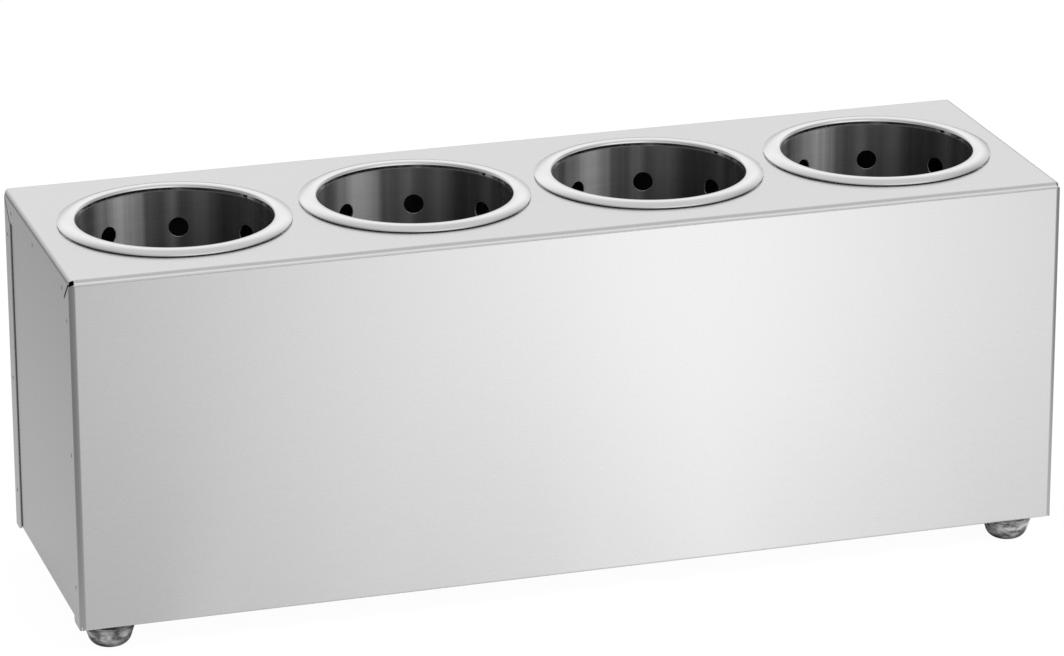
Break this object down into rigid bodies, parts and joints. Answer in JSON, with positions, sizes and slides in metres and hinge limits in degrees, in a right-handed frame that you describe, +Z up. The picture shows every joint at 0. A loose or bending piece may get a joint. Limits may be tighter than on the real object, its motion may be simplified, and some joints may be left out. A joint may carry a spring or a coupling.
{
  "type": "cutlery dispenser",
  "caption": "Countertop dispenser: long folded-steel housing on round feet, with a row of perforated steel cups that hang by their rims in the top and lift straight out.",
  "frame": {"origin": "centre of the rectangle that the housing covers, on the surface that the feet stand on", "axes": "+X along the row of cups, +Y from the front face to the back face, +Z up"},
  "size_m": [0.526, 0.16, 0.2042],
  "materials": {
    "brushed_housing": "satin brushed, grain along the length on the front and top, upright on the ends",
    "polished_cup": "mirror-polished rim, finely brushed wall",
    "dark_foot": "dark glossy metal",
    "sole": "matt black",
    "fastener_steel": "plain bright steel"
  },
  "bodies": {
    "housing": {"housing_shell": "brushed_housing", "left_end_plate": "brushed_housing", "right_end_plate": "brushed_housing", "foot_front_left": "dark_foot", "foot_front_right": "dark_foot", "foot_back_left": "dark_foot", "foot_back_right": "dark_foot", "foot_sole_front_left": "sole", "foot_sole_front_right": "sole", "foot_sole_back_left": "sole", "foot_sole_back_right": "sole", "foot_stud_front_left": "fastener_steel", "foot_stud_front_right": "fastener_steel", "foot_stud_back_left": "fastener_steel", "foot_stud_back_right": "fastener_steel", "foot_washer_front_left": "fastener_steel", "foot_washer_front_right": "fastener_steel", "foot_washer_back_left": "fastener_steel", "foot_washer_back_right": "fastener_steel", "foot_nut_front_left": "fastener_steel", "foot_nut_front_right": "fastener_steel", "foot_nut_back_left": "fastener_steel", "foot_nut_back_right": "fastener_steel"},
    "cup_1": {"cup_1": "polished_cup"},
    "cup_2": {"cup_2": "polished_cup"},
    "cup_3": {"cup_3": "polished_cup"},
    "cup_4": {"cup_4": "polished_cup"}
  },
  "joints": [
    {"name": "cup_1_lift", "type": "slide", "parent": "housing", "child": "cup_1", "axis": [0, 0, 1], "range_m": [0, 0.14]},
    {"name": "cup_2_lift", "type": "slide", "parent": "housing", "child": "cup_2", "axis": [0, 0, 1], "range_m": [0, 0.14]},
    {"name": "cup_3_lift", "type": "slide", "parent": "housing", "child": "cup_3", "axis": [0, 0, 1], "range_m": [0, 0.14]},
    {"name": "cup_4_lift", "type": "slide", "parent": "housing", "child": "cup_4", "axis": [0, 0, 1], "range_m": [0, 0.14]}
  ]
}
